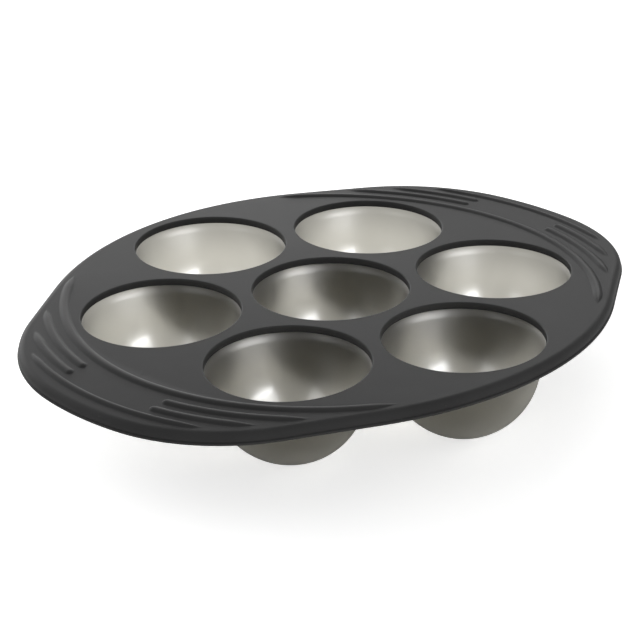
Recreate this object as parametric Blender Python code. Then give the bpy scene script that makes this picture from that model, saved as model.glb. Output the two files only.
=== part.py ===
# Half-sphere mould of silicone: a tray with two handles and seven hanging cups.
#
# The tray is a thin sheet with a rolled edge that turns down into a short wall
# with a bead at its foot. Both ends widen into handles with raised grip ridges.
# Six cups stand in a ring round a seventh. Each cup is a thin drafted bowl that
# runs into a half sphere, and its collar seats in a stepped recess under the tray.
#
# X runs from handle to handle, Z points up, and the feet of the cups stand on z = 0.

import math

import bmesh
import bpy
from mathutils import Vector

# Driving dimensions, in metres, and angles in degrees

# Mouths of the cups: one in the middle and six in a ring round it
ring_of_cups = 6
mouth_radius = 0.0350
mouth_fillet = 0.0006
web_width = 0.0070

# Tray outline, at the outside of its wall
handle_reach = 0.0462
side_margin = 0.0076
side_radius = 0.148
corner_radius = 0.081
flank_normal_angle = 58.5

# Tray section
tray_top_height = 0.0445
tray_thickness = 0.0030
roll_radius = 0.0034
wall_thickness = 0.0024
rim_depth = 0.0054
bead_height = 0.0013
bead_overhang = 0.0005
inner_fillet = 0.0016
bead_section_shares = ((0.0, 0.0), (0.8, 0.12), (1.0, 0.5), (0.6, 1.0))

# Crown: the sheet is highest in the middle
handle_drop = 0.0040
side_drop = 0.0005

# Cups
cup_draft_angle = 13.0
cup_wall = 0.0012
foot_flat_depth = 0.00075
mouth_ledge = 0.00025
collar_width = 0.0024
collar_thickness = 0.0012

# Grip ridges: arcs about the middle of the tray, from the inner one outwards
ridge_height = 0.0010
ridge_width = 0.0042
plain_panel_width = 0.0480
taper_length = 0.0110
taper_tip_share = 0.12
blunt_length = 0.0020
blunt_tip_share = 0.50
ridge_reach_shares = (0.347, 0.517, 0.667, 0.805)
ridge_width_shares = (1.10, 1.00, 1.00, 0.80)
ridge_half_angles = (55.6, 39.2, 30.2, 21.8)
ridge_is_parted = (False, True, True, False)
ridge_section_shares = ((-1.0, 0.0), (-0.62, 0.72), (0.0, 1.0), (0.62, 0.72), (1.0, 0.0))
tip_station_shares = (0.0, 0.35, 1.0)

# Clearance between seated pieces, and how far a cutter or a fused form runs past
seat_gap = 0.0003
overrun = 0.0010
weld_distance = 0.00001

# Facets
cup_segments = 36
bowl_steps = 5
mouth_steps = 2
roll_steps = 3
fillet_steps = 2
end_steps = 6
corner_steps = 6
flank_steps = 2
side_steps = 12
ridge_step = 0.0140
station_spacing = 0.0400

# Colours, linear
tray_colour = (0.085, 0.085, 0.088, 1.0)
cup_colour = (0.30, 0.29, 0.25, 1.0)


# Sizes that follow: places of the mouths, the half axes of the outline and the bowl

cup_pitch = 2.0 * mouth_radius + web_width
first_cup_angle = math.pi / ring_of_cups
tray_half_width = cup_pitch + mouth_radius + side_margin
tray_half_length = cup_pitch * math.cos(first_cup_angle) + mouth_radius + handle_reach
collar_bottom = tray_top_height - tray_thickness

# The side leaves the half sphere at the draft angle and meets the mouth just inside its edge
draft = math.radians(cup_draft_angle)
mouth_reach = mouth_radius - mouth_ledge + cup_wall / math.cos(draft)
draft_reach = (collar_bottom + foot_flat_depth) * math.tan(draft)
bowl_radius = (mouth_reach - draft_reach) / (1.0 / math.cos(draft) - math.tan(draft))
bowl_centre_height = bowl_radius - foot_flat_depth
foot_radius = math.sqrt(bowl_radius**2 - bowl_centre_height**2)


# Start from an empty scene

for old in list(bpy.data.objects):
    bpy.data.objects.remove(old, do_unlink=True)


def silicone(name, colour, roughness):
    """A Principled material of one colour."""
    material = bpy.data.materials.new(name)
    material.use_nodes = True
    shader = material.node_tree.nodes["Principled BSDF"]
    shader.inputs["Base Color"].default_value = colour
    shader.inputs["Roughness"].default_value = roughness
    shader.inputs["Metallic"].default_value = 0.0
    material.diffuse_color = colour
    return material


def add_object(name, mesh_data, material=None):
    """Put a bmesh into the scene as an object with smooth round faces."""
    mesh = bpy.data.meshes.new(name)
    mesh_data.to_mesh(mesh)
    mesh_data.free()
    mesh.shade_smooth()
    mesh.set_sharp_from_angle(angle=math.radians(35.0))
    placed = bpy.data.objects.new(name, mesh)
    bpy.context.scene.collection.objects.link(placed)
    if material:
        mesh.materials.append(material)
    return placed


def arc(centre, radius, start, end, steps):
    """Points of an arc in a plane, angles in degrees, both ends included."""
    points = []
    for step in range(steps + 1):
        angle = math.radians(start + (end - start) * step / steps)
        points.append((centre[0] + radius * math.cos(angle), centre[1] + radius * math.sin(angle)))
    return points


def revolve(mesh_data, profile, centre):
    """Turn a profile of (radius, height) points about an upright axis at the centre."""
    first = [mesh_data.verts.new((centre[0] + radius, centre[1], height)) for radius, height in profile]
    edges = [mesh_data.edges.new(pair) for pair in zip(first, first[1:])]
    bmesh.ops.spin(
        mesh_data,
        geom=first + edges,
        cent=(centre[0], centre[1], 0.0),
        axis=(0.0, 0.0, 1.0),
        angle=2.0 * math.pi,
        steps=cup_segments,
        use_merge=True,
    )


def close_up(mesh_data):
    """Weld the points that meet and turn the faces outwards."""
    bmesh.ops.remove_doubles(mesh_data, verts=mesh_data.verts, dist=weld_distance)
    bmesh.ops.recalc_face_normals(mesh_data, faces=mesh_data.faces)


def crown(mesh_data, centre):
    """Bend flat work into the crown of the tray.

    The top sinks with the square of the distance from the middle, to the handle drop
    and the side drop at the edges, and what hangs below it leans square to the top.
    The sinking fades out towards the feet, so they stay level.
    """
    along = handle_drop / tray_half_length**2
    across = side_drop / tray_half_width**2
    for vertex in mesh_data.verts:
        x = vertex.co.x + centre[0]
        y = vertex.co.y + centre[1]
        depth = tray_top_height - vertex.co.z
        vertex.co.z -= (along * x**2 + across * y**2) * vertex.co.z / tray_top_height
        vertex.co.x -= 2.0 * along * x * depth
        vertex.co.y -= 2.0 * across * y * depth


# Places of the cups

cup_places = {"cup_centre": (0.0, 0.0)}
ring_names = (
    "cup_right_back",
    "cup_back",
    "cup_left_back",
    "cup_left_front",
    "cup_front",
    "cup_right_front",
)
for place, name in enumerate(ring_names):
    angle = first_cup_angle * (2 * place + 1)
    cup_places[name] = (cup_pitch * math.cos(angle), cup_pitch * math.sin(angle))


# Outline of the tray


def quarter_outline():
    """Points and outward normals of a quarter outline, from the handle tip to the side.

    The handle's end is an arc about the middle of the tray, like its ridges. A corner
    arc runs from it into a straight flank, and the flank into the arc of the long side.
    The angle at which end and corner arcs meet follows from the flank's distance.
    """
    flank_angle = math.radians(flank_normal_angle)
    side_centre = tray_half_width - side_radius
    flank_distance = side_centre * math.sin(flank_angle) + side_radius
    turn = math.acos((flank_distance - corner_radius) / (tray_half_length - corner_radius))
    end_angle = flank_normal_angle - math.degrees(turn)
    reach = tray_half_length - corner_radius
    corner_centre = Vector((
        reach * math.cos(math.radians(end_angle)),
        reach * math.sin(math.radians(end_angle)),
    ))

    points = []
    for step in range(end_steps // 2):
        angle = math.radians(end_angle * step / (end_steps // 2))
        normal = Vector((math.cos(angle), math.sin(angle)))
        points.append((normal * tray_half_length, normal))
    for step in range(corner_steps):
        angle = math.radians(end_angle + (flank_normal_angle - end_angle) * step / corner_steps)
        normal = Vector((math.cos(angle), math.sin(angle)))
        points.append((corner_centre + normal * corner_radius, normal))
    normal = Vector((math.cos(flank_angle), math.sin(flank_angle)))
    flank_start = corner_centre + normal * corner_radius
    flank_end = Vector((0.0, side_centre)) + normal * side_radius
    for step in range(flank_steps):
        points.append((flank_start.lerp(flank_end, step / flank_steps), normal))
    half_side_steps = side_steps // 2
    for step in range(half_side_steps + 1):
        angle = flank_angle + (math.pi / 2.0 - flank_angle) * step / half_side_steps
        normal = Vector((math.cos(angle), math.sin(angle)))
        points.append((Vector((0.0, side_centre)) + normal * side_radius, normal))
    return points


def mirrored(pair, x_sign, y_sign):
    """A point and its normal on the other side of an axis."""
    return tuple(Vector((v.x * x_sign, v.y * y_sign)) for v in pair)


def whole_outline():
    """The quarter mirrored into a closed loop that runs anticlockwise."""
    quarter = quarter_outline()
    half = quarter + [mirrored(pair, -1.0, 1.0) for pair in quarter[-2::-1]]
    return half + [mirrored(pair, 1.0, -1.0) for pair in half[-2:0:-1]]


# Tray sheet with its rolled edge, wall and bead


def edge_section():
    """Section of the edge as (offset, depth) points, from the top round to the underside."""
    bead_top = bead_height - rim_depth
    roll = arc((-roll_radius, -roll_radius), roll_radius, 90.0, 0.0, roll_steps)
    bead = [(bead_overhang * out, bead_top - bead_height * down) for out, down in bead_section_shares]
    corner = (-wall_thickness - inner_fillet, -tray_thickness - inner_fillet)
    fillet = arc(corner, inner_fillet, 0.0, 90.0, fillet_steps)
    return roll + bead + [(-wall_thickness, -rim_depth)] + fillet


def tray_sheet():
    """Sweep the edge section round the outline and cap it above and below."""
    sheet = bmesh.new()
    rows = []
    for point, normal in whole_outline():
        row = []
        for offset, height in edge_section():
            place = point + normal * offset
            row.append(sheet.verts.new((place.x, place.y, tray_top_height + height)))
        rows.append(row)
    for row, following in zip(rows, rows[1:] + rows[:1]):
        for index in range(len(row) - 1):
            sheet.faces.new((row[index], row[index + 1], following[index + 1], following[index]))
    sheet.faces.new([row[0] for row in rows])
    sheet.faces.new([row[-1] for row in rows])
    close_up(sheet)
    return sheet


def mouth_cutters():
    """Stepped plugs that cut the rounded mouths and the recesses for the collars."""
    recess_radius = mouth_radius + collar_width + seat_gap
    recess_depth = tray_thickness - collar_thickness - seat_gap
    fillet_centre = (mouth_radius + mouth_fillet, tray_top_height - mouth_fillet)
    rounded = arc(fillet_centre, mouth_fillet, 90.0, 180.0, mouth_steps)
    profile = [(0.0, tray_top_height + overrun), (fillet_centre[0], tray_top_height + overrun)]
    profile += rounded
    profile += [
        (mouth_radius, tray_top_height - recess_depth),
        (recess_radius, tray_top_height - recess_depth),
        (recess_radius, tray_top_height - tray_thickness - overrun),
        (0.0, tray_top_height - tray_thickness - overrun),
    ]
    plugs = bmesh.new()
    for centre in cup_places.values():
        revolve(plugs, profile, centre)
    close_up(plugs)
    return plugs


# Grip ridges


def ridge_runs():
    """Radius, width, end angles and end shapes of every ridge on the handle at +X.

    An end shape is the length over which the ridge fades and the share left at its tip.
    """
    tapered = (taper_length, taper_tip_share)
    blunt = (blunt_length, blunt_tip_share)
    runs = []
    for share, width_share, half_angle, parted in zip(
        ridge_reach_shares, ridge_width_shares, ridge_half_angles, ridge_is_parted
    ):
        radius = tray_half_length - (1.0 - share) * handle_reach
        width = width_share * ridge_width
        if parted:
            inner = math.degrees(math.asin(plain_panel_width / 2.0 / radius))
            runs.append((radius, width, (inner, half_angle), (blunt, tapered)))
            runs.append((radius, width, (-half_angle, -inner), (tapered, blunt)))
        else:
            runs.append((radius, width, (-half_angle, half_angle), (tapered, tapered)))
    return runs


def ridge_stations(length, tips):
    """Places along a ridge with the share of its full section there."""
    stations = []
    for (tip_length, tip_share), place_sign, origin in zip(tips, (1.0, -1.0), (0.0, length)):
        for share in tip_station_shares:
            swell = tip_share + (1.0 - tip_share) * math.sin(share * math.pi / 2.0)
            stations.append((origin + place_sign * share * tip_length, swell))
    start = tips[0][0]
    middle = length - start - tips[1][0]
    steps = max(1, round(middle / ridge_step))
    for step in range(1, steps):
        stations.append((start + middle * step / steps, 1.0))
    return sorted(stations)


def add_ridge(mesh_data, radius, width, angles, tips, handle_sign):
    """Sweep the low rounded section along its arc, fading as its ends say."""
    start, end = (math.radians(angle) for angle in angles)
    rows = []
    for place, swell in ridge_stations(radius * (end - start), tips):
        half_width = swell * width / 2.0
        section = [(half_width * out, swell * ridge_height * up) for out, up in ridge_section_shares]
        section += [(half_width, -overrun), (-half_width, -overrun)]
        angle = start + place / radius
        row = []
        for offset, height in section:
            x = handle_sign * (radius + offset) * math.cos(angle)
            y = (radius + offset) * math.sin(angle)
            row.append(mesh_data.verts.new((x, y, tray_top_height + height)))
        rows.append(row)
    for row, following in zip(rows, rows[1:]):
        for index in range(len(row)):
            beyond = (index + 1) % len(row)
            mesh_data.faces.new((row[index], row[beyond], following[beyond], following[index]))
    mesh_data.faces.new(rows[0])
    mesh_data.faces.new(rows[-1])


def grip_ridges():
    """The ridges of both handles as one set of separate bodies."""
    ridges = bmesh.new()
    for handle_sign in (1.0, -1.0):
        for run in ridge_runs():
            add_ridge(ridges, *run, handle_sign)
    close_up(ridges)
    return ridges


# Put the tray together: sheet, ridges on top, mouths through it, then the crown


def evaluated_copy(source):
    """The object's mesh with its modifiers worked out."""
    graph = bpy.context.evaluated_depsgraph_get()
    mesh = source.evaluated_get(graph).to_mesh()
    result = bmesh.new()
    result.from_mesh(mesh)
    source.evaluated_get(graph).to_mesh_clear()
    return result


tray_material = silicone("tray_silicone", tray_colour, 0.55)
cup_material = silicone("cup_silicone", cup_colour, 0.35)

blank = add_object("tray_blank", tray_sheet())
ridge_set = add_object("ridge_set", grip_ridges())
plug_set = add_object("plug_set", mouth_cutters())
for tool, operation in ((ridge_set, "UNION"), (plug_set, "DIFFERENCE")):
    tool.hide_render = True
    tool.display_type = "WIRE"
    step = blank.modifiers.new(tool.name, "BOOLEAN")
    step.operation = operation
    step.solver = "EXACT"
    step.object = tool

tray_mesh = evaluated_copy(blank)
for scrap in (blank, ridge_set, plug_set):
    bpy.data.objects.remove(scrap, do_unlink=True)

stations = math.floor(tray_half_length / station_spacing)
for station in range(-stations, stations + 1):
    bmesh.ops.bisect_plane(
        tray_mesh,
        geom=tray_mesh.verts[:] + tray_mesh.edges[:] + tray_mesh.faces[:],
        dist=weld_distance,
        plane_co=(station * station_spacing, 0.0, 0.0),
        plane_no=(1.0, 0.0, 0.0),
    )
bmesh.ops.triangulate(tray_mesh, faces=[face for face in tray_mesh.faces if len(face.verts) > 4])
close_up(tray_mesh)
crown(tray_mesh, (0.0, 0.0))
add_object("tray", tray_mesh, tray_material)


# Cups


def cup_side(radius, flat_radius):
    """Bowl and drafted side as (radius, height) points, from the flat foot up to the collar.

    The half sphere ends where its own slope equals the draft, and the side leaves it
    there as its tangent. The inner surface is the same curve on a smaller radius.
    """
    first_angle = math.asin(flat_radius / radius)
    sweep = math.pi / 2.0 - draft - first_angle
    points = []
    for step in range(bowl_steps + 1):
        angle = first_angle + sweep * step / bowl_steps
        points.append((radius * math.sin(angle), bowl_centre_height - radius * math.cos(angle)))
    side_foot, side_height = points[-1]
    rise = collar_bottom - side_height
    points.append((side_foot + rise * math.tan(draft), collar_bottom))
    return points


def cup_profile():
    """Closed section of a cup: up the outside, round the collar and down the inside."""
    outside = cup_side(bowl_radius, foot_radius)
    inside = cup_side(bowl_radius - cup_wall, foot_radius - cup_wall)
    collar_radius = mouth_radius + collar_width
    collar = [
        (collar_radius, collar_bottom),
        (collar_radius, collar_bottom + collar_thickness),
        (mouth_radius, collar_bottom + collar_thickness),
    ]
    return [(0.0, 0.0)] + outside + collar + inside[::-1] + [(0.0, inside[0][1])]


profile = cup_profile()
for name, place in cup_places.items():
    bowl = bmesh.new()
    revolve(bowl, profile, (0.0, 0.0))
    close_up(bowl)
    crown(bowl, place)
    cup = add_object(name, bowl, cup_material)
    cup.location = (place[0], place[1], 0.0)
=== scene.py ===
# %% [markdown]
# # Half-sphere mould of silicone
# The object is a kitchen mould for cakes, desserts and ice: a thick, matte charcoal
# sheet with seven round mouths, a see-through smoky cup under each, a rolled edge and
# two handles with raised grip ridges. The imported model already gives its sizes and its
# pieces. This lesson dresses it: every piece is worked out again with numpy as a finer
# surface, in the same place, and gets a material that answers light as silicone does.
#
# Lengths are in metres. X runs from handle to handle and Z points up.

# %% Load the imported model and apply its placement to the meshes
import math

import bmesh
import bpy
import numpy as np
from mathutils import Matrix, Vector


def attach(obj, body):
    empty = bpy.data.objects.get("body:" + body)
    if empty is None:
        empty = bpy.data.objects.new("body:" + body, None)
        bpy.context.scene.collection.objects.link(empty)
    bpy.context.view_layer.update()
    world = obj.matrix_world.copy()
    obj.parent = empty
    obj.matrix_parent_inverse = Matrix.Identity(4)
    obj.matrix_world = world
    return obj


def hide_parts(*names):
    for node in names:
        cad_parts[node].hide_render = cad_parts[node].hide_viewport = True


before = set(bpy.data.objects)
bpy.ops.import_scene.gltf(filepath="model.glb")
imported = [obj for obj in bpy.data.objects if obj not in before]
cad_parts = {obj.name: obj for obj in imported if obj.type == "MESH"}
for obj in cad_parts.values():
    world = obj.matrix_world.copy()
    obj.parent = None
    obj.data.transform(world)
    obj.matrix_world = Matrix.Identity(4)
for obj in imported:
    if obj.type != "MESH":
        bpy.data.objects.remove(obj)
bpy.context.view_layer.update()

print("nodes:", ", ".join(sorted(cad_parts)))

# %% [markdown]
# ## Camera
# A picture taken from a little above shows the mouths as ellipses and the handles
# running away to both sides. The camera stands about a metre off with a long lens, so
# the far cups are hardly smaller than the near ones. It could be aimed with a
# constraint, but plain numbers for place and turn keep it where it is in every view.

# %% Camera
camera_place = (-0.64797, -0.61936, 0.43221)
camera_turn = (65.7599, 0.9519, -46.4007)
camera_data = bpy.data.cameras.new("studio_camera")
camera_data.lens = 123.804
camera_data.sensor_width = 36.0
camera = bpy.data.objects.new("studio_camera", camera_data)
camera.location = camera_place
camera.rotation_euler = [math.radians(turn) for turn in camera_turn]
bpy.context.scene.collection.objects.link(camera)
bpy.context.scene.camera = camera
print("camera", round(camera.location.length, 3), "m from the origin, lens", camera_data.lens)

# %% [markdown]
# ## Sizes
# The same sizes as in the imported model, so that the finer surfaces lie where its own
# do. They could be read from its meshes, but named sizes say what each one is for. The
# cups stand on a hexagonal grid: six in a ring and one in the middle, with equal webs
# between the mouths.

# %% Sizes of the tray and the cups
# Plan of the tray
mouth_radius, mouth_fillet, web_width = 0.0350, 0.0006, 0.0070
handle_reach, side_margin = 0.0462, 0.0076
side_radius, corner_radius = 0.148, 0.081
flank_angle = math.radians(58.5)

# Section of the sheet and its edge
top_height, sheet_thickness = 0.0445, 0.0030
roll_radius, wall_thickness, rim_depth = 0.0034, 0.0024, 0.0054
bead_height, bead_overhang, inner_fillet = 0.0013, 0.0005, 0.0016
handle_drop, side_drop = 0.0040, 0.0005

# Cups, the collars that seat them, and the curtain of the lip in front of a collar
draft = math.radians(13.0)
cup_wall, foot_flat_depth, mouth_ledge = 0.0012, 0.00075, 0.00025
collar_width, collar_thickness, seat_gap = 0.0024, 0.0012, 0.0003
curtain, curtain_gap = 0.0002, 0.0001

cup_pitch = 2.0 * mouth_radius + web_width
half_width = cup_pitch + mouth_radius + side_margin
half_length = cup_pitch * math.cos(math.radians(30.0)) + mouth_radius + handle_reach
collar_bottom = top_height - sheet_thickness
hexagon_corner = cup_pitch / math.sqrt(3.0)
print(f"pitch {cup_pitch:.4f}, half length {half_length:.4f}, half width {half_width:.4f}")

# %% [markdown]
# ## From grids of numbers to a mesh
# A surface here is an array of points with two indices, one for each parameter. Its
# faces join each point with its neighbours in both directions. Several grids make one
# skin when their edges share the same points, so they are welded afterwards.

# %% Faces of a grid


def grid_faces(rows, columns, closed, first):
    """Corner numbers of the faces of a grid, rows by columns, counted from first.

    Face (i, j) joins the points (i, j), (i, j + 1), (i + 1, j + 1) and (i + 1, j). In a
    closed grid the column after the last one is the first one again.
    """
    across = columns if closed else columns - 1
    i, j = np.meshgrid(np.arange(rows - 1), np.arange(across), indexing="ij")
    after = (j + 1) % columns
    this_row, next_row = i * columns, (i + 1) * columns
    corners = (this_row + j, this_row + after, next_row + after, next_row + j)
    return first + np.stack(corners, axis=-1).reshape(-1, 4)


print("a closed grid of 3 by 4 points has", len(grid_faces(3, 4, True, 0)), "faces")

# %% Grids welded into one object
weld_distance, sliver_length = 2e-6, 1e-7


def skin(name, grids):
    """Weld grids of points, each a (points, closed, marks) set, into one object.

    The marks are numbers that ride on the points, such as where an edge is worn and
    has a painted highlight, and become attributes that materials can read.
    """
    points, faces, first = [], [], 0
    values = {}
    for grid, closed, grid_marks in grids:
        rows, columns = grid.shape[:2]
        faces.append(grid_faces(rows, columns, closed, first))
        points.append(grid.reshape(-1, 3))
        for key, value in grid_marks.items():
            spread = np.broadcast_to(value, (rows, columns)).reshape(-1)
            values.setdefault(key, []).append(spread)
        first += rows * columns
    points, faces = np.concatenate(points), np.concatenate(faces)
    mesh = bpy.data.meshes.new(name)
    mesh.from_pydata(points.tolist(), [], faces.tolist())
    for key, parts in values.items():
        layer = mesh.attributes.new(key, "FLOAT", "POINT")
        layer.data.foreach_set("value", np.concatenate(parts).astype(np.float32))
    work = bmesh.new()
    work.from_mesh(mesh)
    bmesh.ops.remove_doubles(work, verts=work.verts, dist=weld_distance)
    bmesh.ops.dissolve_degenerate(work, edges=work.edges, dist=sliver_length)
    bmesh.ops.recalc_face_normals(work, faces=work.faces)
    open_edges = sum(1 for edge in work.edges if not edge.is_manifold)
    work.to_mesh(mesh)
    work.free()
    mesh.shade_smooth()
    piece = bpy.data.objects.new(name, mesh)
    bpy.context.scene.collection.objects.link(piece)
    triangles = sum(len(face.vertices) - 2 for face in mesh.polygons)
    print(f"{name}: {triangles} triangles, {open_edges} open edges")
    return piece


# %% Points on lines and arcs


def blend(start, end, share):
    """Points a share of the way from start to end: start + share times (end - start)."""
    return start + share * (end - start)


def arc_points(centre, radius, start, end, steps):
    """Points of an arc: centre + radius times (cos a, sin a), a from start to end degrees."""
    angle = np.radians(np.linspace(start, end, steps + 1))
    x = centre[0] + radius * np.cos(angle)
    y = centre[1] + radius * np.sin(angle)
    return np.stack([x, y], axis=-1)


print("a quarter circle:", np.round(arc_points((0.0, 0.0), 1.0, 0.0, 90.0, 2), 3).tolist())

# %% [markdown]
# ## The crown of the sheet
# The sheet isn't quite flat: the handles droop a little, which stiffens it and lets
# water run off. Bending the finished mesh with a modifier would also bend the level
# feet. A formula on the points bends the sheet, leans the cups with it and leaves the
# feet where they stand.

# %% Bending with the crown


def crowned(points):
    """Bend flat work into the low crown of the sheet.

    The top sinks by a x^2 + b y^2, with a and b such that the handle tips and the
    sides sink by their drops. The sinking fades with height, so that feet stay level,
    and what hangs below the top leans square to it: x moves by -2 a x depth.
    """
    along, across = handle_drop / half_length**2, side_drop / half_width**2
    x, y, z = np.moveaxis(points, -1, 0)
    depth = top_height - z
    sink = (along * x**2 + across * y**2) * z / top_height
    leaned_x, leaned_y = x - 2 * along * x * depth, y - 2 * across * y * depth
    return np.stack([leaned_x, leaned_y, z - sink], axis=-1)


def raised(plan, height):
    """Points of a plan put at their heights and bent with the crown."""
    return crowned(np.concatenate([plan, height[..., None]], axis=-1))


print("handle tip:", np.round(crowned(np.array([half_length, 0.0, top_height])), 4))

# %% [markdown]
# ## The outline of the tray
# Seen from above, each quarter of the outline is three arcs and a straight flank that
# meet without a corner. Every part of the rolled edge follows a parallel of that line,
# and the parallel of an arc is an arc about the same centre. So one formula in polar
# form, the distance from the middle in a given direction, draws all of them.

# %% Distance from the middle to any parallel of the outline
side_centre = half_width - side_radius
flank_distance = side_centre * math.sin(flank_angle) + side_radius
corner_reach = half_length - corner_radius
end_angle = flank_angle - math.acos((flank_distance - corner_radius) / corner_reach)
corner_centre = corner_reach * np.array([math.cos(end_angle), math.sin(end_angle)])


def ray_to_circle(angle, centre, radius):
    """Distance along a ray from the origin to a circle about a centre.

    With p the centre's distance along the ray, it is p + sqrt(p^2 - |centre|^2 + radius^2).
    """
    along = centre[0] * np.cos(angle) + centre[1] * np.sin(angle)
    return along + np.sqrt(along**2 - centre[0] ** 2 - centre[1] ** 2 + radius**2)


def outline_radius(angle, inset):
    """Distance from the middle to the outline moved inwards by the inset, along the angle.

    The angle is folded into the first quarter. There the end arc comes first, then the
    corner arc, the flank, whose distance is its own over the cosine, and the side arc.
    """
    angle, inset = np.broadcast_arrays(np.asarray(angle, float), np.asarray(inset, float))
    folded = np.arctan2(np.abs(np.sin(angle)), np.abs(np.cos(angle)))
    normal = np.array([math.cos(flank_angle), math.sin(flank_angle)])
    flank_start = corner_centre + (corner_radius - inset)[..., None] * normal
    flank_end = np.array([0.0, side_centre]) + (side_radius - inset)[..., None] * normal
    choices = [
        half_length - inset,
        ray_to_circle(folded, corner_centre, corner_radius - inset),
        (flank_distance - inset) / np.cos(folded - flank_angle),
    ]
    ends = [
        folded <= end_angle,
        folded <= np.arctan2(flank_start[..., 1], flank_start[..., 0]),
        folded <= np.arctan2(flank_end[..., 1], flank_end[..., 0]),
    ]
    return np.select(ends, choices, ray_to_circle(folded, (0.0, side_centre), side_radius - inset))


print("outline from the middle:", np.round(outline_radius(np.radians([0, 30, 60, 90]), 0.0), 4))

# %% [markdown]
# ## Grip ridges
# Both handles carry raised ridges that follow arcs about the middle of the tray, so
# that wet or gloved fingers don't slip. They could be separate strips laid on the
# sheet, but on the real one they are the same skin. Here they are a height over the
# plan: a rounded hump across each arc, which fades to a fine tip at its outer end and
# stops bluntly at the plain panel in the middle of the handle.

# %% Height of the ridges over the sheet
ridge_height, ridge_width, panel_width = 0.0010, 0.0042, 0.0480
taper_length, blunt_length, least_half_width = 0.0110, 0.0021, 1e-6
# Place across the handle, width, half angle in degrees, and whether the panel parts it
ridge_rows = (
    (0.347, 1.10, 55.6, False),
    (0.517, 1.00, 39.2, True),
    (0.667, 1.00, 30.2, True),
    (0.805, 0.80, 21.8, False),
)


def ridge_arc(place):
    """Distance from the middle to a ridge at its place across the handle, 0 to 1."""
    return half_length - (1.0 - place) * handle_reach


def ridge_lift(radius, angle):
    """Height of the ridges at places given by their distance and direction from the middle.

    Across a ridge the height is (1 - |q|^2.4)^1.25, with q the distance from its arc in
    half widths. Along it, height and width both follow the sine of the way to the tip,
    to the power of 0.8, and at a blunt end a quarter circle.
    """
    folded = np.arctan2(np.abs(np.sin(angle)), np.abs(np.cos(angle)))
    lift = np.zeros(np.broadcast(radius, angle).shape)
    for place, width_share, half_angle, parted in ridge_rows:
        arc_radius = ridge_arc(place)
        to_tip = arc_radius * (math.radians(half_angle) - folded)
        swell = np.sin(np.clip(to_tip / taper_length, 0.0, 1.0) * math.pi / 2) ** 0.8
        if parted:
            to_panel = arc_radius * (folded - math.asin(panel_width / 2 / arc_radius))
            way_out = 1.0 - np.clip(to_panel / blunt_length, 0.0, 1.0)
            swell = swell * np.sqrt(1.0 - way_out**2)
        half = np.maximum(width_share * ridge_width / 2 * swell, least_half_width)
        across = np.clip(np.abs(radius - arc_radius) / half, 0.0, 1.0)
        lift = np.maximum(lift, swell * (1.0 - across**2.4) ** 1.25)
    return lift


print("lift on the inner ridge:", ridge_lift(ridge_arc(ridge_rows[0][0]), 0.0))

# %% [markdown]
# ## The tray
# The plan is cut into patches that a grid can fill without folds. The six ring mouths
# lie in equal cells between two spokes, the middle hexagon and a circle that just
# clears the mouths, and the hexagon is the seventh cell. Between that circle and the
# edge lies a ring, which holds all the ridges and rolls over into the wall, the bead
# and the underside. A height map over a square grid would be simpler, but would leave
# steps round the mouths.

# %% Directions of the grid's columns
# The circle clears the ring mouths by 3 mm
ring_circle = 0.1151
spoke_steps, hexagon_steps, side_steps = 40, 24, 60
# Degrees between columns, finer where the ridges stop at the panel
wide_step, fine_step = 0.6, 0.15
fine_from, fine_to, handle_end, end_slack = 9.6, 12.0, 60.0, 0.01
handle_directions = np.concatenate([
    np.arange(0.0, fine_from, wide_step),
    np.arange(fine_from, fine_to, fine_step),
    np.arange(fine_to, handle_end + end_slack, wide_step),
])
side_directions = np.linspace(handle_end, 180.0 - handle_end, side_steps + 1)
cell_directions = [
    handle_directions,
    side_directions,
    180.0 - handle_directions[::-1],
    180.0 + handle_directions,
    180.0 + side_directions,
    360.0 - handle_directions[::-1],
]
ring_directions = np.radians(np.concatenate([cell[:-1] for cell in cell_directions]))
print(len(ring_directions), "columns round the tray")

# %% Borders of the cells round the mouths


def polar(radius, angle):
    """Points of the plan at a distance and direction from the middle."""
    return np.stack([radius * np.cos(angle), radius * np.sin(angle)], axis=-1)


def ring_cell_border(directions, cell):
    """Closed border of a ring cell: circle, spoke inwards, hexagon's side, spoke outwards."""
    first, last = math.radians(60.0 * cell), math.radians(60.0 * (cell + 1))
    spoke = np.linspace(ring_circle, hexagon_corner, spoke_steps + 1)
    outward_spoke = np.linspace(hexagon_corner, ring_circle, spoke_steps + 1)
    share = np.linspace(0.0, 1.0, hexagon_steps + 1)[:, None]
    stretches = (
        polar(ring_circle, np.radians(directions)),
        polar(spoke, last),
        blend(polar(hexagon_corner, last), polar(hexagon_corner, first), share),
        polar(outward_spoke, first),
    )
    return np.concatenate([stretch[:-1] for stretch in stretches])


def hexagon_border():
    """Closed border of the middle cell, with corners where the spokes begin."""
    corners = polar(hexagon_corner, np.radians(60.0 * np.arange(7)))
    share = np.linspace(0.0, 1.0, hexagon_steps + 1)[:-1, None]
    return np.concatenate([blend(a, b, share) for a, b in zip(corners, corners[1:])])


print("the hexagon's border has", len(hexagon_border()), "points")

# %% One cell with its mouth
# Rows on top and below, as shares of the way from the mouth to the cell's border
top_shares, below_shares = (1.0, 0.8, 0.55, 0.3, 0.12, 0.03), (0.2, 0.6, 1.0)
lip_steps = 6
chamfer_width, chamfer_height = 0.00003, 0.00008


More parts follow.
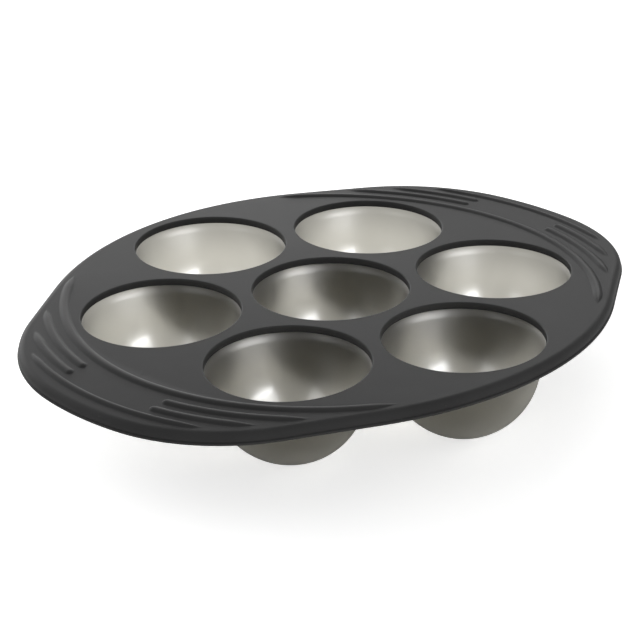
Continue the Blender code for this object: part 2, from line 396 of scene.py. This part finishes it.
def mouth_cell(border, centre):
    """Skin of one cell, from its border on top, down through the mouth and back below.

    Row by row a point is centre + radius times the unit direction of its border point,
    or lies a share of the way from there to the border itself. The lip hangs down as a
    thin curtain in front of the cup's collar, so that one dark wall shows in the mouth.
    Levels count from the top and are negative below it. The mark of wear and painted highlight is
    1 on the lip.
    """
    away = border - centre
    away = away / np.linalg.norm(away, axis=-1, keepdims=True)
    recess_radius = mouth_radius + collar_width + seat_gap
    recess_depth = sheet_thickness - collar_thickness - seat_gap
    curtain_depth = sheet_thickness - curtain_gap
    lip_centre = (mouth_radius + mouth_fillet, -mouth_fillet)
    lip = arc_points(lip_centre, mouth_fillet, 90.0, 180.0, lip_steps)
    rows = [(lip_centre[0], 0.0, share, 0.0) for share in top_shares]
    for k, (radius, level) in enumerate(lip):
        rows.append((radius, level, 0.0, math.sin(math.pi * (k + 1) / (lip_steps + 2))))
    rows += [(radius, -depth, 0.0, 0.0) for radius, depth in (
        (mouth_radius, recess_depth),
        (mouth_radius, curtain_depth - chamfer_height),
        (mouth_radius + chamfer_width, curtain_depth),
        (mouth_radius + curtain, curtain_depth),
        (mouth_radius + curtain, recess_depth),
        (recess_radius, recess_depth),
        (recess_radius, sheet_thickness),
    )]
    rows += [(recess_radius, -sheet_thickness, share, 0.0) for share in below_shares]
    radius, level, share, mark = (np.array(column)[:, None] for column in zip(*rows))
    near = centre + radius[..., None] * away
    plan = blend(near, border[None], share[..., None])
    height = np.broadcast_to(top_height + level, plan.shape[:2])
    return raised(plan, height), True, {"wear_and_highlight": mark}


# %% The seven cells
ring_angles = np.radians(30.0 + 60.0 * np.arange(6))
cup_centres = np.concatenate([[[0.0, 0.0]], polar(cup_pitch, ring_angles)])
tray_grids = [mouth_cell(hexagon_border(), cup_centres[0])]
for cell, directions in enumerate(cell_directions):
    tray_grids.append(mouth_cell(ring_cell_border(directions, cell), cup_centres[cell + 1]))
print(len(tray_grids), "cells of", [grid.shape[:2] for grid, _, _ in tray_grids])

# %% [markdown]
# ### The rolled edge
# The section of the edge is drawn once, as offsets from the outline and levels from the
# top: a broad roll, a short wall, a thin groove, the bead, the flat foot, and back up
# inside to the underside. A curve with a bevel could carry it, but couldn't meet the
# ridges. Carried along the outline's parallels it gives the whole border in one grid.
# The groove matters: it draws the dark line above the bead.

# %% Section of the edge
roll_steps = 12
bead_top = -(rim_depth - bead_height)
bead_round, bead_round_depth = 0.00042, 0.00052
toe_round, toe_inset, heel_round, foot_inset = 0.0003, 0.0005, 0.0004, 0.0008
# Offset and height over the bead's top of the start, the deepest place and the end
groove = ((0.0, 0.00035), (-0.00022, 0.0001), (-0.0002, -0.00005))
fillet_centre = (-wall_thickness - inner_fillet, -sheet_thickness - inner_fillet)
edge_section = np.concatenate([
    arc_points((-roll_radius, -roll_radius), roll_radius, 90.0, 0.0, roll_steps),
    [(offset, bead_top + height) for offset, height in groove],
    arc_points(
        (bead_overhang - bead_round, bead_top - bead_round_depth), bead_round, 70.0, -10.0, 4
    ),
    arc_points(
        (bead_overhang - toe_inset, -rim_depth + toe_round), toe_round, 0.0, -90.0, 3
    ),
    [(-foot_inset, -rim_depth)],
    arc_points(
        (-wall_thickness + heel_round, -rim_depth + heel_round), heel_round, -90.0, -180.0, 3
    ),
    arc_points(fillet_centre, inner_fillet, 0.0, 90.0, 5),
])
print("the edge's section has", len(edge_section), "points")

# %% The ring with the ridges and the edge
top_steps, ring_below_shares = 64, (0.25, 0.6, 1.0)
bead_mark_width = 0.0003


def ring_skin():
    """Skin between the circle and the edge, over the ridges, round the edge and back below.

    On top a point is a share of the way from the circle to where the roll begins, at the
    height of the ridges there. Round the edge its distance from the middle is that of the
    outline's parallel at the section's offset. The mark of wear and painted highlight is 1 on
    ridge tops and edges.
    """
    angle = ring_directions[None, :]
    share = np.linspace(0.0, 1.0, top_steps + 1)[:-1, None]
    top_radius = blend(ring_circle, outline_radius(angle, roll_radius), share)
    lift = ridge_lift(top_radius, angle)
    offset, level = edge_section.T[..., None]
    edge_radius = outline_radius(angle, -offset)
    below_share = np.array(ring_below_shares)[:, None]
    below_radius = blend(edge_radius[-1:], ring_circle, below_share)
    radius = np.concatenate([top_radius, edge_radius, below_radius])
    height = np.concatenate([
        top_height + ridge_height * lift,
        np.broadcast_to(top_height + level, edge_radius.shape),
        np.full(below_radius.shape, top_height - sheet_thickness),
    ])
    way_down = np.clip(np.arange(len(edge_section)) / roll_steps, 0.0, 1.0)
    roll_mark = np.sin(way_down * math.pi)
    bead_mark = np.exp(-(((edge_section[:, 0] - bead_overhang) / bead_mark_width) ** 2))
    mark = np.concatenate([
        lift**2,
        np.broadcast_to(np.maximum(0.5 * roll_mark, bead_mark)[:, None], edge_radius.shape),
        np.zeros(below_radius.shape),
    ])
    plan = polar(radius, np.broadcast_to(angle, radius.shape))
    return raised(plan, height), True, {"wear_and_highlight": mark}


tray_grids.append(ring_skin())
tray = skin("tray_skin", tray_grids)
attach(tray, "root")
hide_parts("tray")

# %% [markdown]
# ## The cups
# Each cup is a half sphere that runs tangent into a side with 13 degrees of draft, so
# that a frozen or baked filling lets go. A profile turned about the upright axis is
# the plain way to make it. All seven come from the same profile, moved to their
# mouths and leaned with the crown of the sheet. Three marks ride on the profile for the
# material: the collar that is bonded into the tray, the upper wall and the inside.

# %% Side of a bowl
mouth_reach = mouth_radius - mouth_ledge + cup_wall / math.cos(draft)
draft_reach = (collar_bottom + foot_flat_depth) * math.tan(draft)
bowl_radius = (mouth_reach - draft_reach) / (1.0 / math.cos(draft) - math.tan(draft))
bowl_centre = bowl_radius - foot_flat_depth


def bowl_side(radius, floor, softness, steps):
    """Half sphere with a flattened foot, then the drafted side up to the collar.

    The sphere's height z meets the flat floor f softly, as half of
    z + f + sqrt((z - f)^2 + s^2), and the side is its tangent at the draft angle.
    """
    angle = np.linspace(0.0, math.pi / 2 - draft, steps + 1)
    reach, height = radius * np.sin(angle), bowl_centre - radius * np.cos(angle)
    height = (height + floor + np.sqrt((height - floor) ** 2 + softness**2)) / 2
    rise = (collar_bottom - height[-1]) * np.array([0.25, 0.5, 0.75, 1.0])
    side = np.stack([reach[-1] + rise * math.tan(draft), height[-1] + rise], axis=-1)
    return np.concatenate([np.stack([reach, height], axis=-1), side])


print("bowl radius", round(bowl_radius, 5), "with its centre at", round(bowl_centre, 5))

# %% Profile of a cup
bowl_steps = 40
inner_foot_radius, foot_fade_radius = 0.0058, 0.0200
outer_softness, inner_softness = 0.0003, 0.0004
outside = bowl_side(bowl_radius, 0.0, outer_softness, bowl_steps)
# Lower the middle of the foot back to the floor, from which the soft join lifts it
outside[:, 1] -= outside[0, 1] * np.clip(1.0 - outside[:, 0] / foot_fade_radius, 0.0, 1.0)
inner_radius = bowl_radius - cup_wall
inner_floor = bowl_centre - math.sqrt(inner_radius**2 - inner_foot_radius**2)
inside = bowl_side(inner_radius, inner_floor, inner_softness, bowl_steps)
collar_radius = mouth_radius + collar_width
collar_top = collar_bottom + collar_thickness + seat_gap
behind_curtain = mouth_radius + curtain + curtain_gap
# Under the curtain the cup's wall reaches outwards, just below the lip's foot
under_lip = (mouth_radius - 0.0001, collar_bottom + 0.00004)
collar = np.array([
    (collar_radius, collar_bottom),
    (collar_radius, collar_top),
    (behind_curtain, collar_top),
    (behind_curtain, collar_bottom + 0.00005),
    under_lip,
])
cup_profile = np.concatenate([outside, collar, inside[::-1]])
print("the profile has", len(cup_profile), "points")

# %% Marks on the profile
# The wall is painted darker from this height up, a painted shade of the tray over the cups
shade_from = 0.0240
bonded_marks = np.concatenate([
    np.zeros(len(outside)), np.ones(len(collar)), np.zeros(len(inside))
])
upper_share = (cup_profile[:, 1] - shade_from) / (collar_bottom - shade_from)
upper_marks = np.clip(upper_share, 0.0, 1.0)
polished_marks = np.concatenate([np.zeros(len(outside) + len(collar)), np.ones(len(inside))])
cup_marks = {
    "bonded": bonded_marks[:, None],
    "upper": upper_marks[:, None],
    "polished": polished_marks[:, None],
}
print("marks:", ", ".join(cup_marks))

# %% Turn the profile into seven cups
turn_steps = 120
cup_names = (
    "cup_centre", "cup_right_back", "cup_back", "cup_left_back",
    "cup_left_front", "cup_front", "cup_right_front",
)


def cup_skin(name, centre):
    """Turn the profile about the mouth's axis: x = cx + r cos t, y = cy + r sin t."""
    turn = np.linspace(0.0, 2.0 * math.pi, turn_steps + 1)[:-1][None, :]
    radius, height = cup_profile[:, :1], cup_profile[:, 1:]
    points = np.stack([
        centre[0] + radius * np.cos(turn),
        centre[1] + radius * np.sin(turn),
        np.broadcast_to(height, (len(cup_profile), turn.shape[1])),
    ], axis=-1)
    return skin(name + "_skin", [(crowned(points), True, cup_marks)])


cups = []
for name, centre in zip(cup_names, cup_centres):
    cup = cup_skin(name, centre)
    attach(cup, "root")
    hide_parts(name)
    cups.append(cup)

# %% [markdown]
# ## Writing materials as sums
# A shader is a graph of nodes, but most of it is arithmetic. A small class stands for
# a value on its way through the graph, and its operators add the Math nodes, so that a
# material reads like a formula.

# %% A value in a shader, with arithmetic


class Value:
    """An output socket in a node tree that can be added, multiplied and so on."""

    def __init__(self, graph, socket):
        self.graph = graph
        self.socket = socket

    def math(self, operation, *others):
        """The result of a Math node on this value and others."""
        values = dict(enumerate((self, *others)))
        return self.graph.node("ShaderNodeMath", {"operation": operation}, values)

    def __add__(self, other):
        return self.math("ADD", other)

    def __mul__(self, other):
        return self.math("MULTIPLY", other)

    def __sub__(self, other):
        return self.math("SUBTRACT", other)

    def __rsub__(self, other):
        return self.math("MULTIPLY", -1.0).math("ADD", other)

    __radd__ = __add__
    __rmul__ = __mul__

    def between(self, low, high):
        """0 at low and below, 1 at high and above, eased in between."""
        settings = {"interpolation_type": "SMOOTHSTEP"}
        values = {"Value": self, "From Min": low, "From Max": high}
        return self.graph.node("ShaderNodeMapRange", settings, values)


# %% The nodes of a material


class Graph:
    """The nodes of a material or of the world."""

    def __init__(self, owner, shader="Principled BSDF"):
        owner.use_nodes = True
        self.owner = owner
        self.tree = owner.node_tree
        self.shader = self.tree.nodes[shader]

    def fill(self, node, values):
        """Set or link a node's sockets."""
        for key, value in values.items():
            socket = node.inputs[key]
            if isinstance(value, Value):
                self.tree.links.new(value.socket, socket)
            else:
                socket.default_value = value

    def node(self, kind, settings=None, values=None, output=0):
        """Add a node, first with its settings, then with values or links on its sockets."""
        node = self.tree.nodes.new(kind)
        for key, setting in (settings or {}).items():
            setattr(node, key, setting)
        self.fill(node, values or {})
        return Value(self, node.outputs[output])

    def place(self):
        """The place on the piece, in metres."""
        return self.node("ShaderNodeTexCoord", output="Object")

    def noise(self, scale, detail=2.0, roughness=0.5, distortion=0.0):
        """Clouds from 0 to 1, about scale of them to a metre."""
        values = {
            "Vector": self.place(),
            "Scale": scale,
            "Detail": detail,
            "Roughness": roughness,
            "Distortion": distortion,
        }
        return self.node("ShaderNodeTexNoise", {}, values)

    def mark(self, name):
        """A mark that rides on the mesh."""
        return self.node("ShaderNodeAttribute", {"attribute_name": name}, {}, "Fac")

    def rays(self, *kinds):
        """1 for rays of a kind, such as those from the camera, and 0 for others."""
        return [self.node("ShaderNodeLightPath", output=f"Is {kind} Ray") for kind in kinds]

    def mix(self, share, first, second):
        """A colour that goes from the first to the second.

        The sockets go by number, because the node has the same names for each type.
        """
        values = {0: share, 6: first, 7: second}
        return self.node("ShaderNodeMix", {"data_type": "RGBA"}, values, 2)

    def bump(self, height, strength, distance):
        """Normals tilted as by a relief that is the distance high where the height is 1."""
        values = {"Height": height, "Strength": strength, "Distance": distance}
        return self.node("ShaderNodeBump", {}, values)


# %% Greys by their tone in a picture


def grey(tone):
    """A grey whose picture value, out of 255, is the tone under plain light."""
    share = tone / 255.0
    linear = ((share + 0.055) / 1.055) ** 2.4 if share > 0.04045 else share / 12.92
    return (linear, linear, linear, 1.0)


print("tone 128 is", round(grey(128.0)[0], 3), "in linear light")

# %% [markdown]
# ## Matte charcoal silicone
# The tray is filled silicone from a blasted steel tool: an even, dark grey skin with a
# fine, soft grain that scatters light into a broad sheen. Handling polishes the ridge
# tops, the lips and the bead a little, and the same places are painted lighter, as a
# painted highlight. Dust dulls it in places. One flat grey would look like paint, so
# cloudy noise shifts colour and roughness by a few percent. The grain is bump, because
# it is far finer than any mesh.

# %% Tray material
tray_look = Graph(bpy.data.materials.new("tray_silicone_look"))
# The third tone is a painted highlight for the worn edges and ridge tops
dark_tone, light_tone, painted_highlight_tone, dust_tone = 51.0, 56.0, 70.0, 130.0
clouds = tray_look.noise(35.0, detail=4.0)
grain = tray_look.noise(2600.0, detail=3.0, roughness=0.6)
coarse_grain = tray_look.noise(600.0, detail=2.0)
dust = tray_look.noise(900.0, detail=2.0, roughness=0.7).between(0.66, 0.8)
wear_and_highlight = tray_look.mark("wear_and_highlight")
base = tray_look.mix(clouds.between(0.3, 0.7), grey(dark_tone), grey(light_tone))
# Ridge tops, lips and the bead are painted lighter here, a painted highlight; their lower
# roughness below is real wear
base = tray_look.mix(wear_and_highlight * 0.3, base, grey(painted_highlight_tone))
base = tray_look.mix(dust * 0.10, base, grey(dust_tone))
tray_look.fill(tray_look.shader, {
    "Base Color": base,
    "Roughness": 0.45 + 0.10 * clouds - 0.06 * wear_and_highlight + 0.10 * dust,
    "Normal": tray_look.bump(grain + 0.5 * coarse_grain, strength=0.18, distance=0.00012),
    "Specular IOR Level": 0.12,
})
tray.data.materials.append(tray_look.owner)
print(tray_look.owner.name, "has", len(tray_look.tree.nodes), "nodes")

# %% [markdown]
# ## Smoky see-through silicone
# The cups are a thin, smoky silicone, faintly warm, that is clear enough to show the
# floor and the next cup through the wall, but blurred. Alpha would show them sharp and
# without gloss. Transmission with some roughness blurs them and darkens them wall by
# wall, because the mesh has the true wall with an inner and an outer face.
#
# The inside comes from a polished core and has a coat of gloss, while the outside is
# matte. Towards the rim the wall is painted darker, a painted shade of the tray over the
# cups, and its gloss gets duller. Where it is bonded into the tray it lets no light
# through, so there the colour goes to black.

# %% Cup material
# Colours are linear: light that passes one wall is multiplied by them
clear_smoke, pale_smoke = (0.330, 0.320, 0.283, 1.0), (0.375, 0.363, 0.324, 1.0)
# The first colour on the next line is a painted shade for the upper walls under the tray
painted_rim_shade, black, white = (0.13, 0.127, 0.115, 1.0), (0.0, 0.0, 0.0, 1.0), (1.0,) * 4
cup_look = Graph(bpy.data.materials.new("cup_silicone_look"))
flow = cup_look.noise(28.0, detail=3.0, distortion=0.6)
fine = cup_look.noise(900.0, detail=2.0)
bonded = cup_look.mark("bonded").between(0.3, 0.7)
upper = cup_look.mark("upper").between(0.0, 1.0)
polished = cup_look.mark("polished") * (1.0 - 0.95 * upper)
wall_colour = cup_look.mix(flow.between(0.3, 0.7), clear_smoke, pale_smoke)
# Towards the rim the wall colour goes to a painted shade, standing in for the tray's shade on the
# upper walls
wall_colour = cup_look.mix(0.6 * upper, wall_colour, painted_rim_shade)
cup_look.fill(cup_look.shader, {
    "Base Color": cup_look.mix(bonded, wall_colour, black),
    "Roughness": 0.42 + 0.08 * flow - 0.14 * polished,
    "Normal": cup_look.bump(fine, strength=0.05, distance=0.0001),
    "Transmission Weight": 1.0,
    "IOR": 1.41,
    "Specular IOR Level": 0.2,
    "Coat Weight": polished,
    "Coat Roughness": 0.20,
    "Coat IOR": 1.41,
})
for cup in cups:
    cup.data.materials.append(cup_look.owner)
print(cup_look.owner.name, "has", len(cup_look.tree.nodes), "nodes")

# %% [markdown]
# ## Studio
# The mould stands on a white floor in a white room. More light would also bleach the
# mould, so the floor is lifted to white by its own glow, which only some rays see. The
# camera's is small enough to keep the soft shadow. Rays through the cups see a floor
# that is white in the open and shaded under the mould, and reflections hardly any.

# %% Floor
# The floor's glow, for each kind of ray
camera_lift, through_lift, under_lift, glossy_lift = 0.62, 1.0, 0.46, 0.05
shade_radius, open_radius = 0.06, 0.16
floor_reach, floor_level = 3.0, -0.0002
floor_mesh = bpy.data.meshes.new("studio_floor")
floor_signs = ((-1, -1), (1, -1), (1, 1), (-1, 1))
floor_points = [(x * floor_reach, y * floor_reach, floor_level) for x, y in floor_signs]
floor_mesh.from_pydata(floor_points, [], [(0, 1, 2, 3)])
floor = bpy.data.objects.new("studio_floor", floor_mesh)
bpy.context.scene.collection.objects.link(floor)
floor_look = Graph(bpy.data.materials.new("studio_floor_look"))
camera_ray, glossy_ray, through_ray = floor_look.rays("Camera", "Glossy", "Transmission")
distance = floor_look.node(
    "ShaderNodeVectorMath", {"operation": "LENGTH"}, {0: floor_look.place()}, "Value"
)
open_share = distance.between(shade_radius, open_radius)
seen_through = under_lift + (through_lift - under_lift) * open_share
lift = camera_lift * camera_ray + seen_through * through_ray + glossy_lift * glossy_ray
floor_look.fill(floor_look.shader, {
    "Base Color": (0.88, 0.88, 0.88, 1.0),
    "Roughness": 0.9,
    "Specular IOR Level": 0.0,
    "Emission Color": floor_look.mix(lift, black, white),
    "Emission Strength": 1.0,
})
floor.data.materials.append(floor_look.owner)
print("floor", 2.0 * floor_reach, "m wide")

# %% World
# Strength of the room in gloss and through the cups, and as light
room_seen, room_light = 0.3, 0.42
world = bpy.data.worlds.new("studio_world")
bpy.context.scene.world = world
room = Graph(world, "Background")
camera_ray, glossy_ray, through_ray = room.rays("Camera", "Glossy", "Transmission")
mirrored = glossy_ray.math("MAXIMUM", through_ray)
room.fill(room.shader, {
    "Color": white,
    "Strength": camera_ray + room_seen * mirrored + room_light * (1.0 - camera_ray - mirrored),
})
print("room:", room_seen, "as seen in gloss,", room_light, "as light")

# %% [markdown]
# ## Lamps
# Two soft lights behind the mould give the tray its sheen, which is brightest on the far
# side. Fills at the sides and a low one in front light the ridges and the edge, and stay
# out of the gloss, where they would leave streaks under the rims. Three softboxes draw
# the soft spots in the cups. They light nothing but the cups, as their sheen at a low
# angle would turn the charcoal tray to silver from the far side.

# %% One soft light


def soft_light(name, azimuth, elevation, distance, size, radiance):
    """A rectangular area light in a direction from the mould, facing it.

    Its power is radiance times area times pi, so that it looks as bright from any size.
    """
    turn, rise = math.radians(azimuth), math.radians(elevation)
    level = math.cos(rise)
    away = Vector((level * math.cos(turn), level * math.sin(turn), math.sin(rise)))
    data = bpy.data.lights.new(name, "AREA")
    data.shape = "RECTANGLE"
    data.size, data.size_y = size
    data.energy = radiance * size[0] * size[1] * math.pi
    lamp = bpy.data.objects.new(name, data)
    lamp.location = away * distance + Vector((0.0, 0.0, top_height))
    lamp.rotation_euler = (-away).to_track_quat("-Z", "Y").to_euler()
    bpy.context.scene.collection.objects.link(lamp)
    print(f"{name}: {data.energy:.2f} W")
    return lamp


# %% Place the lamps
# Name, azimuth and elevation in degrees, distance, size and radiance
soft_light("back_light", 70.0, 14.0, 0.7, (0.8, 0.4), 2.1)
soft_light("back_right_light", 26.0, 28.0, 1.2, (0.5, 0.5), 2.8)
fills = [
    soft_light("left_light", 115.0, 20.0, 1.2, (0.8, 0.5), 2.2),
    soft_light("left_near_light", 120.0, 22.0, 0.45, (0.3, 0.2), 2.0),
    soft_light("right_light", -50.0, 20.0, 1.2, (0.8, 0.5), 1.5),
    soft_light("front_light", -110.0, 4.0, 1.2, (0.8, 0.3), 5.0),
]
for fill in fills:
    fill.visible_glossy = False
softboxes = [
    soft_light("right_softbox", -88.0, 38.0, 1.1, (0.8, 0.5), 12.0),
    soft_light("low_softbox", -88.0, 18.0, 1.1, (0.8, 0.45), 22.0),
    soft_light("left_softbox", 172.0, 34.0, 1.1, (0.5, 0.6), 5.0),
]
glossy_cups = bpy.data.collections.new("glossy_cups")
for cup in cups:
    glossy_cups.objects.link(cup)
for softbox in softboxes:
    softbox.visible_diffuse = False
    softbox.light_linking.receiver_collection = glossy_cups

# %% View settings and the end
bpy.context.scene.view_settings.view_transform = "Standard"
